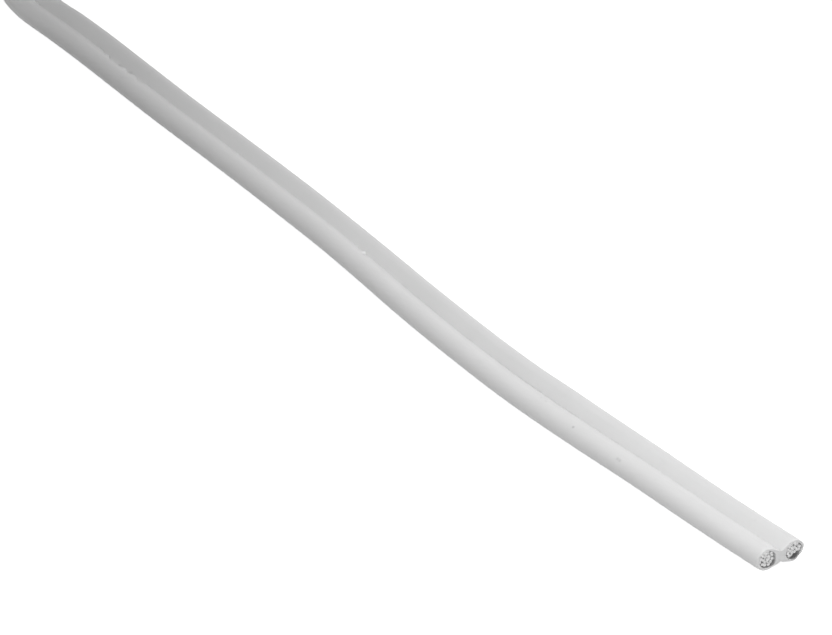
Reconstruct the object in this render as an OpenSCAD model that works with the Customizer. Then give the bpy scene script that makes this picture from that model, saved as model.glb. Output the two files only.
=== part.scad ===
// Flat twin cable: two stranded conductors in one figure-eight insulation.
// One end lies out straight, and the rest is folded into a tied hank behind it.

/* [Insulation] */
// Diameter of each round lobe
lobe_d = 2.6; // [2.4:0.1:3.4]
// Clear distance between the two lobes, spanned by the web
lobe_gap = 0.8; // [0.4:0.1:1.6]
// Thickness of the web at the bottom of its grooves
web_h = 1; // [0.7:0.1:1.7]

/* [Conductors] */
// Thickness of the insulation over the conductors
wall = 0.34; // [0.3:0.01:0.6]
// Play between neighbouring strands, and between the strands and their bore
strand_play = 0.01; // [0.005:0.005:0.02]

/* [Hank] */
// Bend radius of the innermost fold, at the middle of the cable
fold_r = 18; // [15:0.5:22]
// Bend radius of the innermost run where it draws in to the tie
neck_r = 22; // [19:0.5:30]
// Half the distance between the two innermost runs under the tie
neck_half = 0.5; // [0.3:0.1:2]
// Number of turns in the hank
hank_turns = 2.76; // [2.7:0.01:2.8]
// Play between neighbouring runs
run_play = 0.06; // [0.02:0.02:0.2]
// Length of the stretch that is lifted on to the tie
saddle_l = 9; // [6:0.5:14]

/* [Tie] */
// Width of the strap
strap_w = 2.5; // [1.8:0.1:4]
// Thickness of the strap
strap_t = 0.9; // [0.6:0.1:1.3]
// Play between the strap and the runs
strap_play = 0.05; // [0.02:0.01:0.1]
// Radius of the strap's outside corners
strap_corner = 1.2; // [0.6:0.1:2]
// Width of the head
head_w = 4.6; // [4.4:0.1:6]
// Length of the head, across the hank
head_l = 5; // [4:0.1:7]
// Height of the head
head_h = 3.4; // [2.5:0.1:5]
// Play of the strap in the head's slot
slot_play = 0.15; // [0.1:0.05:0.3]
// Length of the cut tail that stands out of the head
tail_l = 1.6; // [0.5:0.1:6]

/* [Hidden] */
lobe_r = lobe_d / 2;
lobe_pitch = lobe_d + lobe_gap;
cable_w = lobe_pitch + lobe_d;

// Sides of a lobe and of its bore in the section, and of a strand
LOBE_SIDES = 12;
STRAND_SIDES = 8;
OUTLINE_POINTS = 80;

// The bore's corners lie on bore_r, and two rings of strands round a middle one fill it
bore_r = lobe_r - wall;
bundle_r = bore_r * cos(180 / LOBE_SIDES) - strand_play;
strand_d = (bundle_r - 2 * strand_play) / 2.5;
strand_pitch = strand_d + strand_play;

// Angle at which the flank of the groove leaves the lobe
flank_a = atan2(web_h, lobe_pitch) + acos(lobe_d / norm([lobe_pitch, web_h]));

// Arcs of one turn of the innermost run: centre, bend outwards or inwards, first and last angle
neck_y = neck_half + neck_r;
fold_x = sqrt(pow(neck_r + fold_r, 2) - pow(neck_y, 2));
neck_a = atan2(neck_y, fold_x);
ARCS = [
    [[fold_x, 0], 1, 90, 180 - neck_a],
    [[0, neck_y], -1, -neck_a, neck_a - 180],
    [[-fold_x, 0], 1, neck_a, 360 - neck_a],
    [[0, -neck_y], -1, 180 - neck_a, neck_a],
    [[fold_x, 0], 1, 180 + neck_a, 450]
];
ARC_L = [for (arc = ARCS) abs(arc[3] - arc[2]) * PI / 180 * (arc[1] > 0 ? fold_r : neck_r)];
turn_l = ARC_L * [1, 1, 1, 1, 1];
run_pitch = lobe_d + run_play;

// How far the run lies outside the innermost run's line, a number of turns from where the cable enters
function run_out(turn) = run_pitch * (hank_turns - turn);
function arc_of(along, k = 0) =
    along <= ARC_L[k] || k == len(ARCS) - 1 ? [k, along / ARC_L[k]] : arc_of(along - ARC_L[k], k + 1);
function run_point(turn, aside) =
    let (at = arc_of((turn - floor(turn)) * turn_l), arc = ARCS[at[0]],
         a = arc[2] + (arc[3] - arc[2]) * at[1], out = run_out(turn) + aside,
         r = arc[1] > 0 ? fold_r + out : neck_r - out)
    arc[0] + r * [cos(a), sin(a)];

// Route of the laid-out stretch, from the cut end to the hank: x, y and roll about the cable's own line
ROUTE = [
    [133.5, 22.7, 0], [127.5, 22.25, 0], [121.5, 21.9, 0], [111.5, 21.4, 2], [103.5, 20.85, 5],
    [96.5, 20.45, 7], [89.5, 20.25, 5], [81.5, 20.35, 3], [71.5, 20.7, 2], [61.5, 21.3, -1],
    [51.5, 21.8, -3], [41.5, 22.2, -1], [31.5, 22.4, -1], [21.5, 22.5, -1], [11.5, 22.6, 0],
    [1.5, 22.8, 1], [-8.5, 23, 2], [-15, 23, 2], [-22, 22.9, 2], [-26.5, 23.3, 24], [-31, 23.9, 60],
    [-36, 24.5, 86], [-41.8, 24.7, 90]
];

// The hank's middle, which puts its outermost run in line with the end of the route
hank_x = ROUTE[len(ROUTE) - 1].x - fold_x;
hank_y = ROUTE[len(ROUTE) - 1].y - fold_r - run_out(0);

// Outside of the hank under the tie: the runs' edge at half the strap's width
function neck_edge(turn) =
    let (r = neck_r - run_out(turn) - lobe_r) neck_y - sqrt(pow(r, 2) - pow(strap_w / 2, 2));
left_edge = neck_edge((ARC_L[0] + ARC_L[1] / 2) / turn_l) + strap_play;
right_edge = -neck_edge((ARC_L[0] + ARC_L[1] + ARC_L[2] + ARC_L[3] / 2) / turn_l) - strap_play;

function along(i) =
    i == 0 || i == len(ROUTE) - 1 ? [1, 0]
    : let (d = ROUTE[i - 1] - ROUTE[i + 1]) [d.x, d.y] / norm([d.x, d.y]);
// A point of the section at a station of the route: q is across and up in the section
function placed(i, q) =
    let (t = along(i), roll = ROUTE[i][2], aside = q.x * cos(roll) - q.y * sin(roll))
    [ROUTE[i].x - t.y * aside, ROUTE[i].y + t.x * aside,
     lobe_r + lobe_pitch / 2 * abs(sin(roll)) + q.x * sin(roll) + q.y * cos(roll)];

function ring(centre, r, sides, first) =
    [for (j = [0:sides - 1]) let (a = first + 360 * j / sides) centre + r * [cos(a), sin(a)]];
function lobe_arc(side) =
    [for (j = [0:LOBE_SIDES - 3])
        let (a = flank_a + (360 - 2 * flank_a) * j / (LOBE_SIDES - 3) + (side > 0 ? 180 : 0))
        [side * lobe_pitch / 2, 0] + lobe_r * [cos(a), sin(a)]];

// The section's outline, anticlockwise from the upper groove, and its two bores
OUTLINE = concat([[0, web_h / 2]], lobe_arc(-1), [[0, -web_h / 2]], lobe_arc(1));
BORES = [for (side = [-1, 1])
    ring([side * lobe_pitch / 2, 0], bore_r, LOBE_SIDES, 180 / LOBE_SIDES + (side > 0 ? 180 : 0))];
// The points of the outline that go round each bore, in step with the bore's own
LOBES = [for (first = [0, LOBE_SIDES - 1]) [for (j = [0:LOBE_SIDES - 1]) (first + j) % len(OUTLINE)]];

// Places of the strands about the middle of their bore: one, six and twelve
LAY = concat([[0, 0]], ring([0, 0], strand_pitch, 6, 0), ring([0, 0], 2 * strand_pitch, 12, 15));

function strand_name(k, i) = str("conductor_", k == 0 ? "a" : "b", "_strand_", i + 1);

// Walls that join a loop of the section from each station to the next
function walls(first, count, stride, inward) =
    [for (i = [0:len(ROUTE) - 2]) for (j = [0:count - 1])
        let (a = i * stride + first + j, b = i * stride + first + (j + 1) % count,
             c = a + stride, d = b + stride)
        each inward ? [[a, b, c], [b, d, c]] : [[a, c, b], [b, c, d]]];

module insulation() {
    n = LOBE_SIDES;
    stride = len(OUTLINE) + 2 * n;
    last = (len(ROUTE) - 1) * stride;
    points = [for (i = [0:len(ROUTE) - 1]) each [for (q = concat(OUTLINE, BORES[0], BORES[1])) placed(i, q)]];
    ends = [for (k = [0, 1]) for (j = [0:n - 1])
        let (a = LOBES[k][j], b = LOBES[k][(j + 1) % n],
             c = len(OUTLINE) + k * n + j, d = len(OUTLINE) + k * n + (j + 1) % n)
        each [[a, b, c], [b, d, c], [last + a, last + c, last + b], [last + b, last + c, last + d]]];
    color("white")
    polyhedron(points, concat(
        ends, walls(0, len(OUTLINE), stride, false),
        walls(len(OUTLINE), n, stride, true), walls(len(OUTLINE) + n, n, stride, true)));
}

module strand(k, i) {
    n = STRAND_SIDES;
    last = (len(ROUTE) - 1) * n;
    centre = [(k - 0.5) * lobe_pitch, 0] + LAY[i];
    points = [for (s = [0:len(ROUTE) - 1]) each [for (q = ring(centre, strand_d / 2, n, 0)) placed(s, q)]];
    color("silver")
    polyhedron(points, concat(
        [[for (j = [0:n - 1]) j]], [[for (j = [n - 1:-1:0]) last + j]], walls(0, n, n, false)));
}

module hank_outline() {
    polygon([for (j = [0:OUTLINE_POINTS]) run_point(j / OUTLINE_POINTS, lobe_r)]);
}

// Inside of the innermost run, on one side of the tie
module eye(side) {
    inside = [for (j = [0:OUTLINE_POINTS]) run_point(hank_turns - 1 + j / OUTLINE_POINTS, -lobe_r)];
    polygon([for (p = inside) if (side * p.x > saddle_l / 2) p]);
}

module hank_section() {
    difference() {
        hank_outline();
        for (side = [-1, 1]) eye(side);
    }
}

module hank() {
    saddle = [saddle_l, 2 * (fold_r + run_out(0) + lobe_d)];
    color("white")
    translate([hank_x, hank_y, 0]) {
        linear_extrude(cable_w) difference() {
            hank_section();
            square(saddle, center = true);
        }
        translate([0, 0, strap_t]) linear_extrude(cable_w) intersection() {
            hank_section();
            square(saddle, center = true);
        }
    }
}

module rounded(low, high, r) {
    for (y = [low.x + r, high.x - r]) for (z = [low.y + r, high.y - r]) translate([y, z]) circle(r, $fn = 32);
    translate([low.x + r, low.y]) square([high.x - low.x - 2 * r, high.y - low.y]);
    translate([low.x, low.y + r]) square([high.x - low.x, high.y - low.y - 2 * r]);
}

// The strap runs up the right side, through the slot in the head, and is cut off above it
module tie() {
    low = [right_edge - strap_t, 0];
    high = [left_edge + strap_t, 2 * strap_t + cable_w];
    base_z = strap_t + cable_w;
    top_z = base_z + head_h;
    slot_low = [-strap_w / 2 - slot_play, right_edge - strap_t - slot_play, base_z - slot_play];
    color("dimgray")
    translate([hank_x, hank_y, 0]) {
        difference() {
            union() {
                translate([-strap_w / 2, 0, 0]) rotate([90, 0, 90]) linear_extrude(strap_w) difference() {
                    rounded(low, high, strap_corner);
                    translate([right_edge, strap_t]) square([left_edge - right_edge, cable_w]);
                }
                translate([-head_w / 2, right_edge - strap_t / 2 - head_l / 2, base_z])
                    cube([head_w, head_l, head_h]);
            }
            translate(slot_low) cube([strap_w, strap_t, head_h + tail_l] + 2 * slot_play * [1, 1, 1]);
        }
        translate([-strap_w / 2, right_edge - strap_t, base_z / 2])
            cube([strap_w, strap_t, top_z + tail_l - base_z / 2]);
    }
}

insulation();
for (k = [0, 1]) for (i = [0:len(LAY) - 1]) strand(k, i);
hank();
tie();
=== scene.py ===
"""A flat twin flex: two stranded conductors in one white figure-eight insulation.

One end lies out in front of the camera. The rest is folded into a tied hank behind it.
Sizes are in metres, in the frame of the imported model: the cut end lies towards +X, and +Z is up.
Across the flex, side -1 is the lobe nearer the camera, with conductor a, and side 1 has conductor b.
"""
import math
import random

import bpy
from mathutils import Matrix, Vector, noise
from mathutils.geometry import tessellate_polygon


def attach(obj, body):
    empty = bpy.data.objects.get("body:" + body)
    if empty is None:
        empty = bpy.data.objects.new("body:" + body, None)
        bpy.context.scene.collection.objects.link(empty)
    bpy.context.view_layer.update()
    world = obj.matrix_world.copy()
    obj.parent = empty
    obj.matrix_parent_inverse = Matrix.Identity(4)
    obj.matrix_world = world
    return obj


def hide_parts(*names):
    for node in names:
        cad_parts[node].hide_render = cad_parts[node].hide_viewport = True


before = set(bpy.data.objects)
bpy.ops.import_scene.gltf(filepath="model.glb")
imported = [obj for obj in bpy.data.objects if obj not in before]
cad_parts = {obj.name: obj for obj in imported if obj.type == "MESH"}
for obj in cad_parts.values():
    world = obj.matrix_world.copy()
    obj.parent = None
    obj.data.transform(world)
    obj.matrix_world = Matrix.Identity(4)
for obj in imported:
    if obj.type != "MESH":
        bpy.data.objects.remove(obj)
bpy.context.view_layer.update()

MM = 0.001

# Section of the flex, as in the part's source
LOBE_R = 1.3 * MM
LOBE_PITCH = 3.4 * MM
CABLE_W = LOBE_PITCH + 2 * LOBE_R
STRAND_D = 0.355 * MM
STRAND_PITCH = STRAND_D + 0.01 * MM
BORE_R = 0.955 * MM

# The hank and its tie, as in the part's source
FOLD_R = 18 * MM
NECK_R = 22 * MM
NECK_HALF = 0.5 * MM
HANK_TURNS = 2.76
RUN_PITCH = 2 * LOBE_R + 0.06 * MM
STRAP_W = 2.5 * MM
STRAP_T = 0.9 * MM
STRAP_PLAY = 0.05 * MM

# The laid-out stretch, from the cut end to the hank: x, y and roll in degrees
ROUTE = [
    (0.1335, 0.0227, 0), (0.1275, 0.02225, 0), (0.1215, 0.0219, 0), (0.1115, 0.0214, 2),
    (0.1035, 0.02085, 5), (0.0965, 0.02045, 7), (0.0895, 0.02025, 5), (0.0815, 0.02035, 3),
    (0.0715, 0.0207, 2), (0.0615, 0.0213, -1), (0.0515, 0.0218, -3), (0.0415, 0.0222, -1),
    (0.0315, 0.0224, -1), (0.0215, 0.0225, -1), (0.0115, 0.0226, 0), (0.0015, 0.0228, 1),
    (-0.0085, 0.0230, 2), (-0.0150, 0.0230, 2), (-0.0220, 0.0229, 2), (-0.0265, 0.0233, 24),
    (-0.0310, 0.0239, 60), (-0.0360, 0.0245, 86), (-0.0418, 0.0247, 90),
]


def eased(value, none_at, full_at):
    """0 up to one value, 1 from another on, and a smooth change between them."""
    share = min(max((value - none_at) / (full_at - none_at), 0.0), 1.0)
    return share * share * (3 - 2 * share)


# The line that the flex follows

class Station:
    """A place on the flex's centreline: its point, its roll, and the way and distance to the cut end."""

    def __init__(self, x, y, roll, lift=0.0):
        self.point = Vector((x, y, LOBE_R + LOBE_PITCH / 2 * abs(math.sin(roll)) + lift))
        self.roll = roll
        self.back = Vector((1, 0, 0))
        self.along = 0.0

    def at(self, across, up):
        """A point of the section, turned by the roll."""
        sine, cosine = math.sin(self.roll), math.cos(self.roll)
        aside, rise = across * cosine - up * sine, across * sine + up * cosine
        return self.point + Vector((-self.back.y * aside, self.back.x * aside, rise))


def route_value(x, column):
    """The route's y or roll at x, on a smooth curve through its points."""
    k = next(i for i in range(len(ROUTE) - 1) if x >= ROUTE[i + 1][0] - 1e-9)

    def slope(i):
        a, b = ROUTE[max(i - 1, 0)], ROUTE[min(i + 1, len(ROUTE) - 1)]
        return (b[column] - a[column]) / (b[0] - a[0])

    (x0, v0), (x1, v1) = ((ROUTE[i][0], ROUTE[i][column]) for i in (k, k + 1))
    span, t = x1 - x0, (x - x0) / (x1 - x0)
    return (v0 * (2 * t ** 3 - 3 * t ** 2 + 1) + v1 * (3 * t ** 2 - 2 * t ** 3)
            + slope(k) * span * (t ** 3 - 2 * t ** 2 + t) + slope(k + 1) * span * (t ** 3 - t ** 2))


def route_station(x):
    """The station of the laid-out stretch at x."""
    return Station(x, route_value(x, 1), math.radians(route_value(x, 2)))


NECK_Y = NECK_HALF + NECK_R
FOLD_X = math.sqrt((NECK_R + FOLD_R) ** 2 - NECK_Y ** 2)
NECK_A = math.degrees(math.atan2(NECK_Y, FOLD_X))

# Arcs of the hank's innermost turn: centre, bend outwards or inwards, first and last angle
ARCS = [
    ((FOLD_X, 0), 1, 90, 180 - NECK_A),
    ((0, NECK_Y), -1, -NECK_A, NECK_A - 180),
    ((-FOLD_X, 0), 1, NECK_A, 360 - NECK_A),
    ((0, -NECK_Y), -1, 180 - NECK_A, NECK_A),
    ((FOLD_X, 0), 1, 180 + NECK_A, 450),
]
ARC_L = [math.radians(abs(last - first)) * (FOLD_R if bend > 0 else NECK_R)
         for _, bend, first, last in ARCS]
TURN_L = sum(ARC_L)
HANK_X = ROUTE[-1][0] - FOLD_X
HANK_Y = ROUTE[-1][1] - FOLD_R - RUN_PITCH * HANK_TURNS


def run_point(turn):
    """A point of the hank's run, a number of turns from where the flex enters it."""
    along = turn % 1 * TURN_L
    k = 0
    while k < len(ARCS) - 1 and along > ARC_L[k]:
        along -= ARC_L[k]
        k += 1
    (cx, cy), bend, first, last = ARCS[k]
    angle = math.radians(first + (last - first) * along / ARC_L[k])
    out = RUN_PITCH * (HANK_TURNS - turn)
    radius = FOLD_R + out if bend > 0 else NECK_R - out
    return Vector((HANK_X + cx + radius * math.cos(angle), HANK_Y + cy + radius * math.sin(angle)))


# The runs rise over the tie's strap: they are up to this far from the hank's middle at their highest, and
# from this far on they lie on the ground
SADDLE_FLAT = 2.2 * MM
SADDLE_END = 11 * MM

# Where the stations are closer: just behind the cut, at the groove's marks, and as far as the view goes
CUT_ZONE = 0.3 * MM
MARK_SPANS = ((-0.0078, 0.0072), (0.0548, 0.0578))
VIEW_END_X = -0.025

# Their distances there, past the view and in the hank, and how far before the hank the laid-out ones stop
CUT_STEP = 0.06 * MM
MARK_STEP = 0.13 * MM
VIEW_STEP = 0.36 * MM
PAST_VIEW_STEP = 1.2 * MM
HANK_STEP = 2.3 * MM
HANK_GAP = 0.5 * MM


def lead_step(x):
    """Distance to the next station of the laid-out stretch."""
    if x > ROUTE[0][0] - CUT_ZONE:
        return CUT_STEP
    if any(first < x < last for first, last in MARK_SPANS):
        return MARK_STEP
    return VIEW_STEP if x > VIEW_END_X else PAST_VIEW_STEP


def make_stations():
    """Stations along the whole flex, from the cut end to the end inside the hank."""
    stations = []
    x = ROUTE[0][0]
    while x > ROUTE[-1][0] + HANK_GAP:
        stations.append(route_station(x))
        x -= lead_step(x)
    steps = round(HANK_TURNS * TURN_L / HANK_STEP)
    for i in range(steps + 1):
        at = run_point(HANK_TURNS * i / steps)
        lift = STRAP_T * eased(abs(at.x - HANK_X), SADDLE_END, SADDLE_FLAT)
        stations.append(Station(at.x, at.y, math.radians(90), lift))
    for i, station in enumerate(stations):
        before, after = stations[max(i - 1, 0)], stations[min(i + 1, len(stations) - 1)]
        station.back = (before.point - after.point).to_2d().normalized().to_3d()
        if i:
            station.along = before.along + (station.point - before.point).length
    return stations


# The camera

IMAGE_W = 832
FOCAL_PX = 4485.4
SENSOR_MM = 36
CAMERA_AT = Vector((0.436717, -0.226682, 0.255511))
CAMERA_FORWARD = Vector((-0.71898, 0.48277, -0.5)).normalized()


def add_camera():
    """The photograph's view: a long lens, 30 degrees above the surface."""
    data = bpy.data.cameras.new("camera")
    data.sensor_fit = "HORIZONTAL"
    data.sensor_width = SENSOR_MM
    data.lens = FOCAL_PX * SENSOR_MM / IMAGE_W
    data.clip_start, data.clip_end = 0.02, 50
    camera = bpy.data.objects.new("camera", data)
    right = CAMERA_FORWARD.cross(Vector((0, 0, 1))).normalized()
    up = right.cross(CAMERA_FORWARD)
    camera.matrix_world = Matrix.Translation(CAMERA_AT) @ Matrix(
        (right, up, -CAMERA_FORWARD)).transposed().to_4x4()
    bpy.context.scene.collection.objects.link(camera)
    bpy.context.scene.camera = camera


# At the cut end: the length that the cutter deformed, how far it pushed each bore over and up there, and
# by what share it widened both
PUSH_LENGTH = 2.5 * MM
BORE_PUSH = {-1: (0.06 * MM, -0.01 * MM), 1: (0.0, -0.03 * MM)}
BORE_GROWTH = 0.10

# How far it pushed each bundle of strands over and up inside its bore, and how far back from the cut a few
# strands stop, by their side and their number in the lay
BUNDLE_PUSH = {-1: (-0.11 * MM, 0.12 * MM), 1: (-0.09 * MM, 0.15 * MM)}
SHORT_STRANDS = {
    (-1, 16): 0.0, (-1, 17): 0.12 * MM, (1, 15): 0.25 * MM, (1, 16): 2.6 * MM, (1, 17): 2.2 * MM,
}

# The cut's slant, and how far its lower far corner is set back, from which places across and up to which
CUT_LEAN = 0.13
CORNER_BACK = 0.22 * MM
CORNER_ACROSS = (1.6 * MM, 2.6 * MM)
CORNER_UP = (0.6 * MM, -0.7 * MM)


def near_cut(station):
    """1 at the cut end, 0 where the cutter pushed nothing over any more."""
    return eased(station.along, PUSH_LENGTH, 0)


def bore_middle(station, side):
    """Middle of a bore on a station: its places across and up."""
    near = near_cut(station)
    return side * LOBE_PITCH / 2 + BORE_PUSH[side][0] * near, BORE_PUSH[side][1] * near


def bore_radius(station):
    """Radius of a bore on a station."""
    return BORE_R * (1 + BORE_GROWTH * near_cut(station))


def lean(station, across, up):
    """How far the slanting cut sets a place near the cut end back, most of all its lower far corner."""
    corner = CORNER_BACK * eased(across, *CORNER_ACROSS) * eased(up, *CORNER_UP)
    return -station.back * near_cut(station) * (CUT_LEAN * (LOBE_PITCH / 2 - across) + corner)


# Materials

class Value:
    """A number or colour in a material's node tree, for use in Python expressions."""

    def __init__(self, finish, socket):
        self.finish, self.socket = finish, socket

    def math(self, operation, first, second):
        return self.finish.node("ShaderNodeMath", {"operation": operation}, {0: first, 1: second})

    def __add__(self, other):
        return self.math("ADD", self, other)

    def __radd__(self, other):
        return self.math("ADD", other, self)

    def __sub__(self, other):
        return self.math("SUBTRACT", self, other)

    def __rsub__(self, other):
        return self.math("SUBTRACT", other, self)

    def __mul__(self, other):
        return self.math("MULTIPLY", self, other)

    def __rmul__(self, other):
        return self.math("MULTIPLY", other, self)

    def clamped(self):
        """The value, held between 0 and 1."""
        return self.math("MINIMUM", self.math("MAXIMUM", self, 0), 1)


class Finish:
    """A material's node tree, or the world's."""

    def __init__(self, owner):
        owner.use_nodes = True
        self.owner = owner
        self.tree = owner.node_tree
        self.tree.nodes.clear()

    def node(self, kind, settings=None, inputs=None, output=0):
        """Adds a node: its settings first, then its sockets' values or links. Gives one of its outputs."""
        node = self.tree.nodes.new(kind)
        for name, value in (settings or {}).items():
            setattr(node, name, value)
        for name, value in (inputs or {}).items():
            if isinstance(value, Value):
                self.tree.links.new(value.socket, node.inputs[name])
            else:
                node.inputs[name].default_value = value
        return Value(self, node.outputs[output]) if node.outputs else None

    def place(self):
        """A point of the surface, in the row frame."""
        return self.node("ShaderNodeTexCoord", output="Object")

    def vector_math(self, operation, *operands, output="Vector"):
        """A vector from one or two others, or a number where the output is Value."""
        return self.node(
            "ShaderNodeVectorMath", {"operation": operation}, dict(enumerate(operands)), output)

    def noise(self, place, scale, detail, roughness=0.5):
        """A soft pattern with about so many patches a metre."""
        return self.node(
            "ShaderNodeTexNoise", {"noise_dimensions": "3D"},
            {"Vector": place, "Scale": scale, "Detail": detail, "Roughness": roughness})

    def mixed(self, factor, first, second):
        """A colour between two others."""
        return self.node(
            "ShaderNodeMix", {"data_type": "RGBA"}, {0: factor, 6: first, 7: second}, output=2)

    def bump(self, height, distance):
        """The surface's normal, with a fine relief."""
        return self.node("ShaderNodeBump", inputs={"Height": height, "Distance": distance})

    def seen(self):
        """1 for the rays of the camera, of reflections and of clear pieces, 0 for those that only light."""
        rays = [self.node("ShaderNodeLightPath", output="Is %s Ray" % kind)
                for kind in ("Camera", "Glossy", "Transmission")]
        return (rays[0] + rays[1] + rays[2]).clamped()

    def spot(self, place, at, radius):
        """1 in the middle of a small spot of the surface, 0 outside it."""
        away = self.vector_math("DISTANCE", place, at, output="Value")
        return ((1 - away * (1 / radius)) * 2).clamped()

    def surface(self, shader):
        """Ends the tree with a shader, and gives the material or world that it belongs to."""
        kind = "World" if isinstance(self.owner, bpy.types.World) else "Material"
        self.node("ShaderNodeOutput" + kind, inputs={"Surface": shader})
        return self.owner


def grey(level):
    """A neutral colour."""
    return (level, level, level, 1)


# Dark specks in the insulation, and painted shade for small holes and pits (those at x 0.0571, 0.0012 and
# -0.0013): x, place across, height, radius and strength
SPECKS_AND_PAINTED_PIT_SHADE = [
    (0.10205, -2.12 * MM, 1.23 * MM, 0.20 * MM, 0.32), (0.1098, -2.43 * MM, 1.08 * MM, 0.24 * MM, 0.16),
    (0.1102, -2.46 * MM, 1.05 * MM, 0.24 * MM, 0.16), (0.0960, -1.10 * MM, 1.15 * MM, 0.15 * MM, 0.25),
    (0.0951, -1.05 * MM, 1.12 * MM, 0.15 * MM, 0.25), (0.0571, -0.60 * MM, 0.88 * MM, 0.24 * MM, 0.5),
    (0.0012, -0.40 * MM, 0.35 * MM, 0.75 * MM, 0.18), (-0.0013, -0.35 * MM, 0.40 * MM, 0.50 * MM, 0.16),
]
SPECK_AND_PIT_SHADE_COLOUR = grey(0.12)

# Painted shade of the hollow beside each bundle: its middle, across and up from the bore's middle and back
# from the cut, its radius, its strength and its colour
HOLLOW_SHADE = {-1: (0.75 * MM, -0.75 * MM), 1: (0.30 * MM, -0.88 * MM)}
HOLLOW_SHADE_BACK = 0.7 * MM
HOLLOW_SHADE_R = 0.85 * MM
HOLLOW_SHADE_STRENGTH = 0.62
PAINTED_HOLLOW_SHADE_COLOUR = grey(0.04)

# How far past the bore's radius that shade reaches, and the distance over which it stops
WALL_REACH = 0.07 * MM
WALL_BLEND = 0.04 * MM

# Height of the fine grain on all pieces
FINE_BUMP = 0.02 * MM


def with_specks_and_painted_pit_shade(finish, place, colour):
    """A colour with the insulation's specks on it, and with painted shade at its small holes and pits."""
    for x, across, up, radius, strength in SPECKS_AND_PAINTED_PIT_SHADE:
        spot = finish.spot(place, route_station(x).at(across, up), radius)
        # Each mark darkens the colour; at the pits beside the groove this darkening is painted shade
        colour = finish.mixed(spot * strength, colour, SPECK_AND_PIT_SHADE_COLOUR)
    return colour


def with_painted_hollow_shade(finish, place, colour):
    """A colour with painted shade, for the hollows' shadow, on the bores' walls behind the cut."""
    cut = route_station(ROUTE[0][0])
    for side in (-1, 1):
        across, up = bore_middle(cut, side)
        from_axis = finish.vector_math("SUBTRACT", place, cut.at(across, up))
        off_axis = finish.vector_math("CROSS_PRODUCT", from_axis, cut.back)
        away = finish.vector_math("LENGTH", off_axis, output="Value")
        inside = ((bore_radius(cut) + WALL_REACH - away) * (1 / WALL_BLEND)).clamped()
        middle = cut.at(across + HOLLOW_SHADE[side][0], up + HOLLOW_SHADE[side][1]) - cut.back * HOLLOW_SHADE_BACK
        shade = inside * finish.spot(place, middle, HOLLOW_SHADE_R) * HOLLOW_SHADE_STRENGTH
        # Painted shade: the wall's colour is darkened where the hollow's shadow falls
        colour = finish.mixed(shade, colour, PAINTED_HOLLOW_SHADE_COLOUR)
    return colour


def white_pvc():
    """Soft white plastic: faintly mottled, slightly rubbed, with a fine grain, dark specks, and painted
    shade in its pits and in the bores' hollows at the cut.
    """
    finish = Finish(bpy.data.materials.new("white_pvc"))
    place = finish.place()
    cloud = finish.noise(place, 160, 3)
    rubbed = (finish.noise(place, 420, 4, 0.6) - 0.62) * 5
    base = finish.mixed(cloud, grey(0.775), grey(0.805))
    colour = finish.mixed(rubbed.clamped() * 0.35, base, grey(0.68))
    # Painted shade goes into the colour here: at the pits beside the groove and in the hollows beside the
    # bundles at the cut
    colour = with_painted_hollow_shade(finish, place, with_specks_and_painted_pit_shade(finish, place, colour))
    height = finish.noise(place, 900, 3) * 0.6 + finish.noise(place, 5200, 2) * 0.12
    return finish.surface(finish.node("ShaderNodeBsdfPrincipled", inputs={
        "Base Color": colour, "Roughness": 0.42 + cloud * 0.14, "IOR": 1.5,
        "Specular IOR Level": 0.4, "Normal": finish.bump(height, FINE_BUMP)}))


def tinned_wire():
    """Bright drawn wire, duller and darker in patches where the cutter smeared it."""
    finish = Finish(bpy.data.materials.new("tinned_wire"))
    place = finish.place()
    smear = finish.noise(place, 3800, 3)
    return finish.surface(finish.node("ShaderNodeBsdfPrincipled", inputs={
        "Base Color": finish.mixed(smear, grey(0.64), grey(0.80)), "Metallic": 0.35,
        "Roughness": 0.55 + smear * 0.2, "Normal": finish.bump(finish.noise(place, 9000, 2), FINE_BUMP)}))


def black_nylon():
    """Moulded black nylon with a faint orange-peel and dusty patches."""
    finish = Finish(bpy.data.materials.new("black_nylon"))
    place = finish.place()
    dust = finish.noise(place, 900, 4, 0.6)
    return finish.surface(finish.node("ShaderNodeBsdfPrincipled", inputs={
        "Base Color": finish.mixed(dust, grey(0.016), grey(0.034)), "Roughness": 0.3 + dust * 0.25,
        "IOR": 1.53, "Normal": finish.bump(finish.noise(place, 2600, 2), FINE_BUMP)}))


# Meshes

def add_piece(name, points, faces, material, sharp=35):
    """A smooth-shaded mesh piece on the root body, sharp where its faces meet at a steeper angle."""
    mesh = bpy.data.meshes.new(name)
    mesh.from_pydata([tuple(p) for p in points], [], faces)
    mesh.polygons.foreach_set("use_smooth", [True] * len(mesh.polygons))
    mesh.set_sharp_from_angle(angle=math.radians(sharp))
    mesh.materials.append(material)
    piece = bpy.data.objects.new(name, mesh)
    bpy.context.scene.collection.objects.link(piece)
    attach(piece, "root")
    return piece


def walls(first, count, rings, closed=False, inward=False):
    """Quads between rings of points that follow each other, from the point with the number first."""
    faces = []
    for i in range(rings if closed else rings - 1):
        here, there = first + i * count, first + (i + 1) % rings * count
        for j in range(count):
            k = (j + 1) % count
            quad = (here + j, here + k, there + k, there + j)
            faces.append(quad[::-1] if inward else quad)
    return faces


def filled(points, loops, outward):
    """Triangles that fill the first loop of point numbers and leave the others open."""
    flat = [n for loop in loops for n in loop]
    faces = []
    for a, b, c in tessellate_polygon([[points[n] for n in loop] for loop in loops]):
        a, b, c = flat[a], flat[b], flat[c]
        normal = (points[b] - points[a]).cross(points[c] - points[a])
        faces.append((a, b, c) if normal.dot(outward) > 0 else (a, c, b))
    return faces


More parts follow.
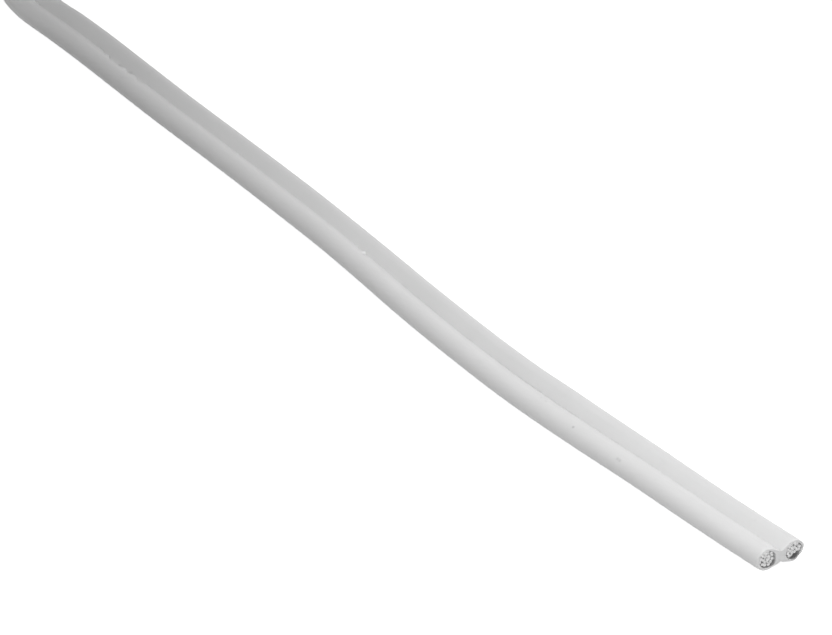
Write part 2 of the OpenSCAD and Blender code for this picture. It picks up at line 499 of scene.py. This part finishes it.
# The grooves, the upper one as 1 and the lower one as -1: the angle at which their flanks leave the lobes,
# and the half height and half width of their bottoms
FLANK_A = {1: math.radians(57), -1: math.radians(75)}
GROOVE_HALF_H = {1: 0.37 * MM, -1: 0.80 * MM}
GROOVE_HALF_W = {1: 0.04 * MM, -1: 0.30 * MM}

# How far the upper groove wanders across, over what length, and the seed of that
RAGGED = 0.06 * MM
RAGGED_LENGTH = 0.9 * MM
RAGGED_SEED = 3.7

# How much deeper and wider it is near the cut end, and the x at which that starts, is full, is full for the
# last time and stops
DEEPER = 0.045 * MM
DEEPER_X = (0.055, 0.085, 0.096, 0.110)

# Its near edge is torn off in places, and near the cut end it stands back a little: x, and how far across
# the edge is there, both in millimetres
TORN = [
    (-7.8, 0.04), (-6.1, 0.15), (-5.3, -0.15), (-4.55, -0.45), (-4.35, 0.05), (-3.6, -0.3), (-2.5, -0.8),
    (-1.1, -0.65), (-0.45, -0.6), (-0.2, 0.05), (0.5, -0.1), (1.0, -0.75), (1.7, -0.7), (2.0, -0.45),
    (2.25, 0.1), (3.3, -0.25), (4.0, -0.6), (4.75, -0.95), (5.0, 0.05), (5.9, 0.15), (7.2, 0.04),
    (54.8, 0.04), (55.2, -0.2), (55.6, 0.0), (56.1, 0.1), (56.6, 0.0), (56.9, -0.2), (57.5, 0.04),
    (66, 0.04), (76, 0.0), (95, 0.0), (104, 0.04),
]
WHOLE_EDGE = 0.04 * MM

# A low lip stands on the near edge, and none is left where the edge is torn this far back
LIP = 0.12 * MM
LIP_GONE = -0.35 * MM

# Pits under the torn edge and the burr on it: x, half length, and depth or height, in millimetres
PITS = [(-1.2, 0.5, 0.26), (1.3, 0.6, 0.32), (-4.0, 0.8, 0.12), (4.3, 0.7, 0.12)]
BURRS = [(56.4, 0.16, 0.27)]

# The least cover that is left over a bore, and the least half height of the web
BORE_SKIN = 0.06 * MM
LEAST_HALF_H = 0.1 * MM

# One turn of the strands in a conductor, how deep they print through the insulation, and how many do
LAY_LENGTH = 24 * MM
PRINT_DEPTH = 0.007 * MM
STRANDS_OUTSIDE = 12

# The cut faces: how far from them the edges are drawn in, by what share across and up, and their grain
EDGE_ZONE = 0.3 * MM
EDGE_IN = 0.015
EDGE_DOWN = 0.05
FACE_UNEVEN = 0.06 * MM
FACE_GRAIN = 0.45 * MM
OUTER_SEED, BORE_SEED = 1, 2

# Fineness of the mesh. The bores need all stations at the ends, and fewer between them
LOBE_STEPS = 32
FLANK_STAGES = (0, 0.55, 0.92, 1.06, 1.3, 1.55, 1.8)
BORE_SIDES = 20
BORE_CLOSE_AT_CUT = 12
BORE_CLOSE_AT_END = 6
BORE_STEP, BORE_STEP_FOLDED = 6, 2
FOLDED_ROLL = math.radians(80)


def section_points():
    """The figure-eight outline, anticlockwise from the upper groove.

    Each is a point of a lobe (its angle and side) or of a flank (up or down, its side and its stage).
    """
    points = []
    span = 2 * math.pi - FLANK_A[1] - FLANK_A[-1]
    for side in (-1, 1):
        turned = math.pi if side > 0 else 0
        points += [("flank", -side, side, stage) for stage in FLANK_STAGES]
        points += [("lobe", FLANK_A[-side] + span * j / LOBE_STEPS + turned, side, 0)
                   for j in range(LOBE_STEPS + 1)]
        points += [("flank", side, side, stage) for stage in FLANK_STAGES[:0:-1]]
    return points


def torn_edge(x):
    """How far across the groove's near edge is at x, where some of it is torn off."""
    for (x0, edge0), (x1, edge1) in zip(TORN, TORN[1:]):
        if x0 * MM <= x < x1 * MM:
            return (edge0 + (edge1 - edge0) * (x / MM - x0) / (x1 - x0)) * MM
    return WHOLE_EDGE


def humps(x, marks):
    """Depth of the pits or height of the burrs at x, each with rounded ends."""
    return sum(high * MM * math.exp(-((x / MM - at) / length) ** 2) for at, length, high in marks)


def worn_groove(x, along, side):
    """The upper groove's bottom, where the edge of its flank is across, and how high the lip on that is."""
    wander = RAGGED * noise.noise(Vector((along / RAGGED_LENGTH, RAGGED_SEED, 0)))
    edge = torn_edge(x)
    start, full_from, full_to, stop = DEEPER_X
    deeper = DEEPER * eased(x, start, full_from) * eased(x, stop, full_to)
    middle = wander + edge
    over_bore = BORE_R ** 2 - (abs(middle) - LOBE_PITCH / 2) ** 2
    half_h = max(
        GROOVE_HALF_H[1] - humps(x, PITS), math.sqrt(max(over_bore, 0)) + BORE_SKIN, LEAST_HALF_H)
    ridge = side * (GROOVE_HALF_W[1] + deeper) + wander + (edge if side < 0 else max(edge, 0))
    lip = LIP * eased(edge, LIP_GONE, 0) + humps(x, BURRS) if side < 0 else 0
    return Vector((middle, half_h - 2 * deeper)), ridge, lip


def flank_point(station, up, side, stage):
    """A point of a groove's flank: stage 0 is its bottom, 1 its edge, and 2 where it meets the lobe."""
    bottom, ridge, lip = Vector((0, GROOVE_HALF_H[up])), side * GROOVE_HALF_W[up], 0
    if up > 0:
        bottom, ridge, lip = worn_groove(station.point.x, station.along, side)
    angle = FLANK_A[up]
    top = Vector((side * (LOBE_PITCH / 2 - LOBE_R * math.cos(angle)), LOBE_R * math.sin(angle)))
    bend = Vector((ridge, top.y - (top.x - ridge) * side / math.tan(angle) + lip))
    at = bottom.lerp(bend, stage) if stage < 1 else bend.lerp(top, stage - 1)
    return at.x, at.y * up


def flex_surface(station, item):
    """A point of the outline on a station, with the print of the strands and the worn groove."""
    kind, first, side, stage = item
    if kind == "flank":
        return flank_point(station, first, side, stage)
    turn = 2 * math.pi * station.along / LAY_LENGTH
    radius = LOBE_R + PRINT_DEPTH * math.cos(STRANDS_OUTSIDE * (first - turn) + side)
    return side * LOBE_PITCH / 2 + radius * math.cos(first), radius * math.sin(first)


def bore_surface(station, side, corner):
    """A corner of a bore's wall on a station."""
    across, up = bore_middle(station, side)
    radius, a = bore_radius(station), 2 * math.pi * corner / BORE_SIDES
    return across + radius * math.cos(a), up + radius * math.sin(a)


def placed(station, flex_length, place, seed):
    """A point of the section on a station: near a cut end the edge is drawn in and the face is uneven."""
    across, up = place
    near_end = eased(min(station.along, flex_length - station.along), EDGE_ZONE, 0)
    outward = station.back * (1 if station.along < flex_length / 2 else -1)
    grain = noise.noise(Vector((across, up, 0)) / FACE_GRAIN + Vector((0, 0, seed)))
    point = station.at(across * (1 - EDGE_IN * near_end), up * (1 - EDGE_DOWN * near_end))
    return point + outward * (FACE_UNEVEN * near_end * grain) + lean(station, across, up)


def bore_stations(stations):
    """The stations that the bores' walls need."""
    return [s for i, s in enumerate(stations)
            if i < BORE_CLOSE_AT_CUT or i >= len(stations) - BORE_CLOSE_AT_END
            or i % (BORE_STEP if s.roll < FOLDED_ROLL else BORE_STEP_FOLDED) == 0]


def add_flex(stations, material):
    """The insulation: its outer face, its two bores and its two cut ends."""
    section, inner = section_points(), bore_stations(stations)
    length = stations[-1].along
    points = [placed(station, length, flex_surface(station, item), OUTER_SEED)
              for station in stations for item in section]
    faces = walls(0, len(section), len(stations))
    cut_loops = [list(range(len(section)))]
    far_loops = [list(range(len(points) - len(section), len(points)))]
    for side in (-1, 1):
        first = len(points)
        points += [placed(station, length, bore_surface(station, side, j), BORE_SEED)
                   for station in inner for j in range(BORE_SIDES)]
        faces += walls(first, BORE_SIDES, len(inner), inward=True)
        cut_loops.append(list(range(first, first + BORE_SIDES)))
        far_loops.append(list(range(len(points) - BORE_SIDES, len(points))))
    faces += filled(points, cut_loops, stations[0].back)
    faces += filled(points, far_loops, -stations[-1].back)
    return add_piece("insulation_flex", points, faces, material, sharp=32)


# The strands: their sides, the angle of the outer ring, and the dome on their cut ends
STRAND_SIDES = 8
OUTER_RING_A = math.radians(15)
STRAND_DOME = 0.02 * MM

# How far a strand's end is shoved over, tilts and juts out at random, and how far back some of them stop
SHOVE = 0.03 * MM
TILT = 0.07 * MM
JUT = (-0.04 * MM, 0.10 * MM)
SETBACKS = (0.0, 0.0, 0.0, 0.06 * MM, 0.12 * MM)

# The cutter's pinch: its length, how far it spreads the bundle across and up, and how it swells and
# flattens each strand
PINCH_LENGTH = 1.8 * MM
SPREAD_ACROSS = 0.03
SPREAD_UP = 0.01
SWELL = 0.13
FLATTEN = 0.12

# The strands need all stations near the cut end, and every fourth one behind that
CLOSE_TO_CUT = 2 * MM
STRAND_STEP = 4

# How near the hank the laid-out strands stop, and the length of them that is modelled at the far end
LEAD_END_GAP = 0.2 * MM
SHOWN_IN_HANK = 12 * MM


def strand_lay():
    """Places of the strands about the middle of their conductor: distance and angle."""
    lay = [(0.0, 0.0)]
    for ring, count, turned in ((1, 6, 0), (2, STRANDS_OUTSIDE, OUTER_RING_A)):
        lay += [(ring * STRAND_PITCH, 2 * math.pi * j / count + turned) for j in range(count)]
    return lay


def strand_rings(stations, side, place, start, end, rng, at_cut=True):
    """Rings of points of one twisted strand, between two distances along the flex.

    Its pinched end is the one at the cut end, or else the one inside the hank.
    """
    distance, angle = place
    shove = Vector((rng.uniform(-1, 1), rng.uniform(-1, 1))) * SHOVE
    tilt = rng.uniform(-TILT, TILT)
    jut = rng.uniform(*JUT) if at_cut else 0
    flat_a = rng.uniform(0, math.pi)
    chosen = [s for s in stations if start <= s.along <= end]
    last, outward = (chosen[0], 1) if at_cut else (chosen[-1], -1)
    rings = []
    for station in chosen:
        pinch = eased(station.along if at_cut else stations[-1].along - station.along, PINCH_LENGTH, 0)
        turn = angle + 2 * math.pi * station.along / LAY_LENGTH
        across, up = bore_middle(station, side)
        across += BUNDLE_PUSH[side][0] * near_cut(station) + shove.x * pinch
        up += BUNDLE_PUSH[side][1] * near_cut(station) + shove.y * pinch
        across += distance * math.cos(turn) * (1 + SPREAD_ACROSS * pinch)
        up += distance * math.sin(turn) * (1 + SPREAD_UP * pinch)
        ring = []
        for j in range(STRAND_SIDES):
            a = 2 * math.pi * j / STRAND_SIDES
            r = STRAND_D / 2 * (1 + SWELL * pinch) * (1 - FLATTEN * pinch * math.sin(a - flat_a) ** 2)
            point = station.at(across + r * math.cos(a), up + r * math.sin(a)) + lean(station, across, up)
            if station is last:
                point += station.back * (jut + tilt * math.sin(a - flat_a)) * outward
            ring.append(point)
        rings.append(ring)
    return rings


def strand_mesh(rings, first):
    """Points and faces of a strand with slightly domed cut ends. Its points count up from first."""
    points = [p for ring in rings for p in ring]
    faces = walls(first, STRAND_SIDES, len(rings))
    ends = ((rings[0], rings[1], 0, 1), (rings[-1], rings[-2], len(points) - STRAND_SIDES, -1))
    for ring, inner_ring, start, sign in ends:
        middle = sum(ring, Vector()) / STRAND_SIDES
        outward = (middle - sum(inner_ring, Vector()) / STRAND_SIDES).normalized()
        points.append(middle + outward * STRAND_DOME)
        tip = first + len(points) - 1
        for j in range(STRAND_SIDES):
            a, b = first + start + j, first + start + (j + 1) % STRAND_SIDES
            faces.append((tip, a, b) if sign > 0 else (tip, b, a))
    return points, faces


def add_strands(stations, material, rng):
    """Each strand of the laid-out stretch, in place of its solid."""
    lead_length = next(s.along for s in stations if s.point.x < ROUTE[-1][0] + LEAD_END_GAP)
    chosen = [s for i, s in enumerate(stations) if s.along < CLOSE_TO_CUT or i % STRAND_STEP == 0]
    for side, letter in ((-1, "a"), (1, "b")):
        for i, place in enumerate(strand_lay()):
            start = SHORT_STRANDS.get((side, i), rng.choice(SETBACKS))
            rings = strand_rings(chosen, side, place, start, lead_length, rng)
            points, faces = strand_mesh(rings, 0)
            strand = add_piece("wire_%s_%d" % (letter, i + 1), points, faces, material)
            name = "conductor_%s_strand_%d" % (letter, i + 1)
            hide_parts(name)


def add_wires_in_hank(stations, material, rng):
    """What shows of the strands at the end inside the hank, one piece for each conductor."""
    end = stations[-1].along
    for side, letter in ((-1, "a"), (1, "b")):
        points, faces = [], []
        for place in strand_lay():
            rings = strand_rings(stations, side, place, end - SHOWN_IN_HANK, end, rng, at_cut=False)
            new_points, new_faces = strand_mesh(rings, len(points))
            points += new_points
            faces += new_faces
        add_piece("wires_%s_in_hank" % letter, points, faces, material)


# The tie: the strap's outer corners, its cut tail, its end inside the head, its bevel and its teeth
TIE_CORNER = 1.2 * MM
CORNER_STEPS = 6
TIE_TAIL_L = 1.6 * MM
TIE_END_BACK = 0.3 * MM
STRAP_BEVEL = 0.18 * MM
TOOTH_PITCH = 0.9 * MM
TOOTH_DEPTH = 0.16 * MM
POINTS_A_TOOTH = 3

# From the strap's side to the toothed channel's brim and to its floor
CHANNEL_BRIM = 2.4 * STRAP_BEVEL
CHANNEL_FLOOR = 2.8 * STRAP_BEVEL

# The head and its slot. A rounded bevel has its middle edge at this share of its width
BEVEL_ROUND = 0.3
HEAD_W, HEAD_L, HEAD_H = 4.6 * MM, 5 * MM, 3.4 * MM
HEAD_CORNER = 0.6 * MM
HEAD_BEVEL = 0.35 * MM
HEAD_TAPER = 0.12 * MM
SLOT_PLAY = 0.15 * MM
SLOT_CORNER = 0.12 * MM
SLOT_LIP = 0.25 * MM
ROUND_STEPS = 5


def neck_edge(turn):
    """How far the outer run's edge is from the hank's middle line, at half the strap's width."""
    radius = NECK_R - RUN_PITCH * (HANK_TURNS - turn) - LOBE_R
    return NECK_Y - math.sqrt(radius ** 2 - (STRAP_W / 2) ** 2)


def tie_edges():
    """The strap's inner faces at the right and left of the neck, measured from the hank's middle line."""
    left = neck_edge((ARC_L[0] + ARC_L[1] / 2) / TURN_L) + STRAP_PLAY
    right = -neck_edge((sum(ARC_L[:3]) + ARC_L[3] / 2) / TURN_L) - STRAP_PLAY
    return right, left


def strap_path(right, left):
    """Middle of the strap, from the head across the top, down, under and up through the slot."""
    top, low = STRAP_T * 1.5 + CABLE_W, STRAP_T / 2
    y_left, y_right = left + STRAP_T / 2, right - STRAP_T / 2
    radius = TIE_CORNER - STRAP_T / 2
    path = [(y_right + HEAD_L / 2 - TIE_END_BACK, top)]

    def corner(cy, cz, first):
        for j in range(CORNER_STEPS + 1):
            a = math.radians(first - 90 * j / CORNER_STEPS)
            path.append((cy + radius * math.cos(a), cz + radius * math.sin(a)))

    def straight(y, z):
        y0, z0 = path[-1]
        steps = max(1, round(math.hypot(y - y0, z - z0) / (TOOTH_PITCH / POINTS_A_TOOTH)))
        for j in range(1, steps + 1):
            path.append((y0 + (y - y0) * j / steps, z0 + (z - z0) * j / steps))

    straight(y_left - radius, top)
    corner(y_left - radius, top - radius, 90)
    straight(y_left, low + radius)
    corner(y_left - radius, low + radius, 0)
    straight(y_right + radius, low)
    corner(y_right + radius, low + radius, -90)
    straight(y_right, STRAP_T + CABLE_W + HEAD_H + TIE_TAIL_L)
    return path


def strap_profile(tooth):
    """The strap's section, across and inwards, with bevelled edges and a channel as deep as the tooth."""
    half, outside, inside = STRAP_W / 2, -STRAP_T / 2, STRAP_T / 2
    right_side = [
        (half - STRAP_BEVEL, outside), (half, outside + STRAP_BEVEL), (half, inside - STRAP_BEVEL),
        (half - STRAP_BEVEL, inside), (half - CHANNEL_BRIM, inside), (half - CHANNEL_FLOOR, inside - tooth),
    ]
    return right_side + [(-across, inwards) for across, inwards in reversed(right_side)]


def add_strap(right, left, material):
    """The strap, with its toothed channel on the side that the head's pawl holds."""
    path = strap_path(right, left)
    rings = []
    for i, (y, z) in enumerate(path):
        (ya, za), (yb, zb) = path[max(i - 1, 0)], path[min(i + 1, len(path) - 1)]
        run = Vector((yb - ya, zb - za)).normalized()
        profile = strap_profile(TOOTH_DEPTH * (i % POINTS_A_TOOTH) / (POINTS_A_TOOTH - 1))
        rings.append([Vector((HANK_X + across, HANK_Y + y + run.y * inwards, z - run.x * inwards))
                      for across, inwards in profile])
    count = len(rings[0])
    points = [p for ring in rings for p in ring]
    faces = walls(0, count, len(rings), inward=True)
    faces += filled(points, [list(range(count))], Vector((0, path[0][0] - path[1][0], 0)))
    faces += filled(points, [list(range(len(points) - count, len(points)))], Vector((0, 0, 1)))
    return add_piece("tie_strap", points, faces, material, sharp=25)


def rounded_rectangle(x, y, half_x, half_y, corner, z):
    """A level loop of points with rounded corners."""
    points = []
    for k, (sx, sy) in enumerate(((1, 1), (-1, 1), (-1, -1), (1, -1))):
        for j in range(ROUND_STEPS + 1):
            a = math.radians(90 * (k + j / ROUND_STEPS))
            points.append(Vector((x + sx * (half_x - corner) + corner * math.cos(a),
                                  y + sy * (half_y - corner) + corner * math.sin(a), z)))
    return points


def add_head(right, material):
    """The head: a bevelled block that tapers upwards, with a slot that is chamfered at both mouths."""
    x, y = HANK_X, HANK_Y + right - STRAP_T / 2
    low, high = STRAP_T + CABLE_W, STRAP_T + CABLE_W + HEAD_H
    slot_x, slot_y = STRAP_W / 2 + SLOT_PLAY, STRAP_T / 2 + SLOT_PLAY
    step = HEAD_BEVEL * BEVEL_ROUND
    loops = []
    for inset, z in ((HEAD_BEVEL, low), (step, low + step), (0, low + HEAD_BEVEL),
                     (HEAD_TAPER, high - HEAD_BEVEL), (HEAD_TAPER + step, high - step),
                     (HEAD_TAPER + HEAD_BEVEL, high)):
        loops.append(rounded_rectangle(x, y, HEAD_W / 2 - inset, HEAD_L / 2 - inset, HEAD_CORNER, z))
    for grow, z in ((SLOT_LIP, high), (0, high - SLOT_LIP), (0, low + SLOT_LIP), (SLOT_LIP, low)):
        loops.append(rounded_rectangle(x, y, slot_x + grow, slot_y + grow, SLOT_CORNER, z))
    points = [p for loop in loops for p in loop]
    faces = walls(0, len(loops[0]), len(loops), closed=True)
    return add_piece("tie_head", points, faces, material, sharp=40)


# The floor and the light
FLOOR_HALF = 12
FLOOR_GREY = 0.55
FLOOR_GLOW = 0.89
WORLD_LIGHT = 0.085

# Round soft lamps: name, place, the point that they aim at, diameter and power in watts
LAMPS = [
    ("overhead_lamp", (0.12, 0.01, 0.17), (0.12, 0.0101, 0), 0.24, 0.069),
    ("near_lamp", (0.135, 0.0, 0.13), (0.135, 0.0001, 0), 0.24, 0.144),
    ("front_lamp", (0.25, -0.20, 0.05), (0.1115, 0.022, 0), 0.14, 0.133),
    ("end_lamp", (0.34, -0.05, 0.07), (0.1335, 0.022, 0), 0.12, 0.088),
    ("back_lamp", (0.18, 0.235, 0.11), (0.1115, 0.022, 0), 0.20, 0.230),
]


def add_floor():
    """A pale floor that the camera sees as white, with the flex's soft shadow on it."""
    finish = Finish(bpy.data.materials.new("pale_floor"))
    pale = finish.node("ShaderNodeBsdfDiffuse", inputs={"Color": grey(FLOOR_GREY)})
    glow = finish.node(
        "ShaderNodeEmission", inputs={"Color": grey(1), "Strength": finish.seen() * FLOOR_GLOW})
    material = finish.surface(finish.node("ShaderNodeAddShader", inputs={0: pale, 1: glow}))
    mesh = bpy.data.meshes.new("floor")
    corners = [(sx * FLOOR_HALF, sy * FLOOR_HALF, 0) for sx, sy in ((-1, -1), (1, -1), (1, 1), (-1, 1))]
    mesh.from_pydata(corners, [], [(0, 1, 2, 3)])
    mesh.materials.append(material)
    floor = bpy.data.objects.new("floor", mesh)
    bpy.context.scene.collection.objects.link(floor)


def add_lamp(name, at, aim, size, power):
    """A round soft lamp that lights the flex and isn't seen itself."""
    data = bpy.data.lights.new(name, "AREA")
    data.shape, data.size, data.energy = "DISK", size, power
    lamp = bpy.data.objects.new(name, data)
    lamp.location = at
    lamp.rotation_euler = (Vector(aim) - lamp.location).to_track_quat("-Z", "Y").to_euler()
    lamp.visible_camera = False
    bpy.context.scene.collection.objects.link(lamp)


def add_world():
    """A white surround that itself gives only a little light."""
    world = bpy.data.worlds.new("studio")
    bpy.context.scene.world = world
    finish = Finish(world)
    strength = WORLD_LIGHT + finish.seen() * (1 - WORLD_LIGHT)
    finish.surface(finish.node("ShaderNodeBackground", inputs={"Color": grey(1), "Strength": strength}))


add_camera()
stations = make_stations()
pvc, wire, nylon = white_pvc(), tinned_wire(), black_nylon()

flex = add_flex(stations, pvc)
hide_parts("insulation", "hank")

rng = random.Random(7)
add_strands(stations, wire, rng)
add_wires_in_hank(stations, wire, rng)

right_edge, left_edge = tie_edges()
strap = add_strap(right_edge, left_edge, nylon)
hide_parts("tie")
add_head(right_edge, nylon)

add_floor()
add_world()
for lamp in LAMPS:
    add_lamp(*lamp)
bpy.context.scene.view_settings.view_transform = "Standard"
